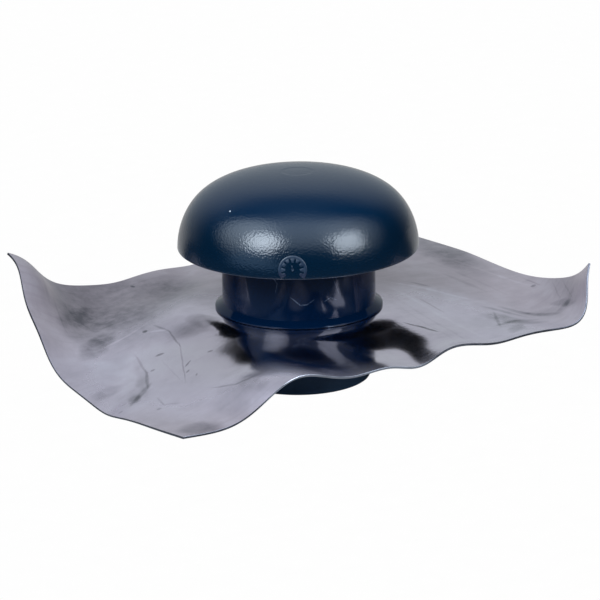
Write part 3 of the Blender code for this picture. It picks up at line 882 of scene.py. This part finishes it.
def sheet_stains_and_shade(t, flat):
    """How dark the stains, smudges and painted shade make the sheet at a place, the pale patches of painted light
    counting down.
    """
    rough = t.noise(flat, 130.0, 4.0, 0.65)
    wander = t.vec("SCALE", t.vec("SUBTRACT", t.noise(flat, 55.0, 3.0, 0.6, colour=True), (0.5, 0.5, 0.5)),
                   scale=0.010)
    loose = t.vec("MULTIPLY", t.vec("ADD", flat, wander), (1.0, 1.0, 0.0))
    near = t.vec("MULTIPLY", t.vec("ADD", flat, t.vec("SCALE", wander, scale=0.22)), (1.0, 1.0, 0.0))

    def spot(vector, x, y, a, b, turn, depth, hard, so_far):
        """Adds a soft ellipse, its edge sharper for a larger hard."""
        c, q = math.cos(math.radians(turn)), math.sin(math.radians(turn))
        a, b = a * MM, b * MM
        u = t.math("SUBTRACT", t.vec("DOT_PRODUCT", vector, (c / a, q / a, 0.0)), (c * x + q * y) * MM / a)
        v = t.math("SUBTRACT", t.vec("DOT_PRODUCT", vector, (-q / b, c / b, 0.0)), (c * y - q * x) * MM / b)
        r = t.math("MULTIPLY_ADD", u, u, t.math("MULTIPLY", v, v))
        m = t.math("MULTIPLY_ADD", r, -hard, 0.5 + hard)
        m = t.math("MAXIMUM", t.math("MINIMUM", m, 1.0), 0.0)
        return t.math("MULTIPLY_ADD", m, depth, so_far)

    whole = 0.0
    for x, y, a, b, turn, depth in STAIN_AND_SHADE_BLOTS:
        whole = spot(loose, x, y, a, b, turn, depth, 0.75, whole)
    for x0, y0, x1, y1, wide, depth in SMUDGE_AND_SHADE_STROKES:
        long = 0.56 * math.hypot(x1 - x0, y1 - y0) + 0.5 * wide
        turn = math.degrees(math.atan2(y1 - y0, x1 - x0))
        whole = spot(near, (x0 + x1) / 2, (y0 + y1) / 2, long, max(0.8 * wide, 0.65), turn, depth, 0.8, whole)
    return t.math("MULTIPLY", whole, t.span(rough, 0.25, 0.75, 0.75, 1.45)), loose


def lead_material():
    mat, t, bsdf = principled("rolled_lead")
    at = t.node("ShaderNodeAttribute", attribute_name="flat_place")
    flat = at.outputs["Vector"]
    dark, loose = sheet_stains_and_shade(t, flat)
    shine = None
    for x, y, a, b, turn in POLISHED:
        m = t.blot(loose, (x * MM, y * MM, 0.0), math.radians(turn), (a * MM, b * MM, 1.0), 0.50)
        shine = m if shine is None else t.math("MAXIMUM", shine, m)
    cloud = t.noise(flat, 9.0, 4.0, 0.55)
    mottle = t.noise(flat, 60.0, 5.0, 0.62)
    streak = t.noise(t.scaled(flat, (12.0, 240.0, 1.0)), 1.0, 3.0, 0.6)
    satin = t.mix(t.span(cloud, 0.3, 0.7), (0.350, 0.292, 0.312), (0.408, 0.338, 0.360))
    bright = t.mix(t.span(cloud, 0.3, 0.7), (0.700, 0.630, 0.725), (0.770, 0.695, 0.790))
    tone = t.mix(shine, satin, bright)
    grain = t.math("ADD", t.math("MULTIPLY", t.span(streak, 0.50, 0.8), 0.10),
                   t.math("MULTIPLY", t.span(mottle, 0.35, 0.75, -0.05, 0.09), 1.0))
    depth = t.math("ADD", dark, grain)
    deep = t.math("MAXIMUM", depth, 0.0)
    pale = t.math("MAXIMUM", t.math("MULTIPLY", depth, -1.0), 0.0)
    # painted shade, along with the stains and smudges, darkens the tone; painted light pales it
    tone = t.mix(t.math("MINIMUM", deep, 0.85), tone, (0.030, 0.030, 0.042))
    tone = t.mix(t.math("MINIMUM", pale, 0.6), tone, (0.95, 0.93, 1.0))
    t.put(bsdf.inputs["Base Color"], tone)
    t.put(bsdf.inputs["Metallic"], t.span(shine, 0.0, 1.0, 0.50, 1.0, smooth=False))
    rough = t.math("ADD", t.span(t.noise(flat, 22.0, 4.0), 0.3, 0.7, 0.10, 0.15),
                   t.math("MULTIPLY", streak, 0.03))
    rough = t.math("ADD", rough, t.math("MULTIPLY", t.math("SUBTRACT", 1.0, shine), 0.22))
    t.put(bsdf.inputs["Roughness"], rough)
    pit = t.noise(flat, 420.0, 3.0, 0.5)
    n1 = t.bump(streak, 0.00003)
    n2 = t.bump(pit, 0.00004, normal=n1)
    t.put(bsdf.inputs["Normal"], n2)
    return mat


def edge_material():
    mat, t, bsdf = principled("cut_lead_edge")
    at = t.node("ShaderNodeAttribute", attribute_name="flat_place")
    flat = at.outputs["Vector"]
    bsdf.inputs["Metallic"].default_value = 1.0
    cloud = t.noise(flat, 160.0, 3.0)
    dull = t.mix(cloud, (0.085, 0.082, 0.097), (0.145, 0.140, 0.160))
    # painted highlight: a pale stretch of the -Y side's edge, standing in for the edge catching the light
    lit_edge_highlight = t.blot(flat, (-54.0 * MM, -143.0 * MM, 0.0), 0.0, (66.0 * MM, 8.0 * MM, 1.0), 0.10)
    t.put(bsdf.inputs["Base Color"], t.mix(lit_edge_highlight, dull, (0.40, 0.39, 0.43)))
    t.put(bsdf.inputs["Roughness"], t.span(cloud, 0.3, 0.7, 0.30, 0.42))
    t.put(bsdf.inputs["Normal"], t.bump(t.noise(flat, 900.0, 2.0), 0.00005))
    return mat


# ---------------------------------------------------------------------- build
def place(ob, slot, *nodes):
    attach(ob, "root")
    if nodes:
        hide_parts(*nodes)
    return ob


def main():
    make_camera()
    make_world()
    softbox("light_left", LEFT_LIGHT)
    softbox("light_left_core", LEFT_CORE)
    softbox("light_right", RIGHT_LIGHT)
    make_floor()
    scene = bpy.context.scene
    scene.view_settings.view_transform = "Standard"
    scene.view_settings.look = "None"

    dome_mat, dial_mat = dome_material(), dial_material()
    v, f = turned_mesh(dome_profile(), 256, closed=False)
    place(mesh_object("hood", v, f, [dome_mat]), "dome_plastic", "dome_cap")
    for k in range(4):
        place(make_web(k, dome_mat), "dome_plastic")
    place(make_dial(dial_mat), "dome_plastic")
    v, f = turned_mesh(tube_profile(), 240, closed=True)
    place(mesh_object("duct_tube", v, f, [tube_material()]), "tube_plastic", "upper_tube")
    v, f = turned_mesh(sleeve_profile(), 200, closed=True)
    place(mesh_object("pipe_sleeve", v, f, [sleeve_material()]), "sleeve_plastic", "clamp_sleeve")
    place(make_sheet(lead_material(), edge_material()), "lead", "lead_sheet")


main()
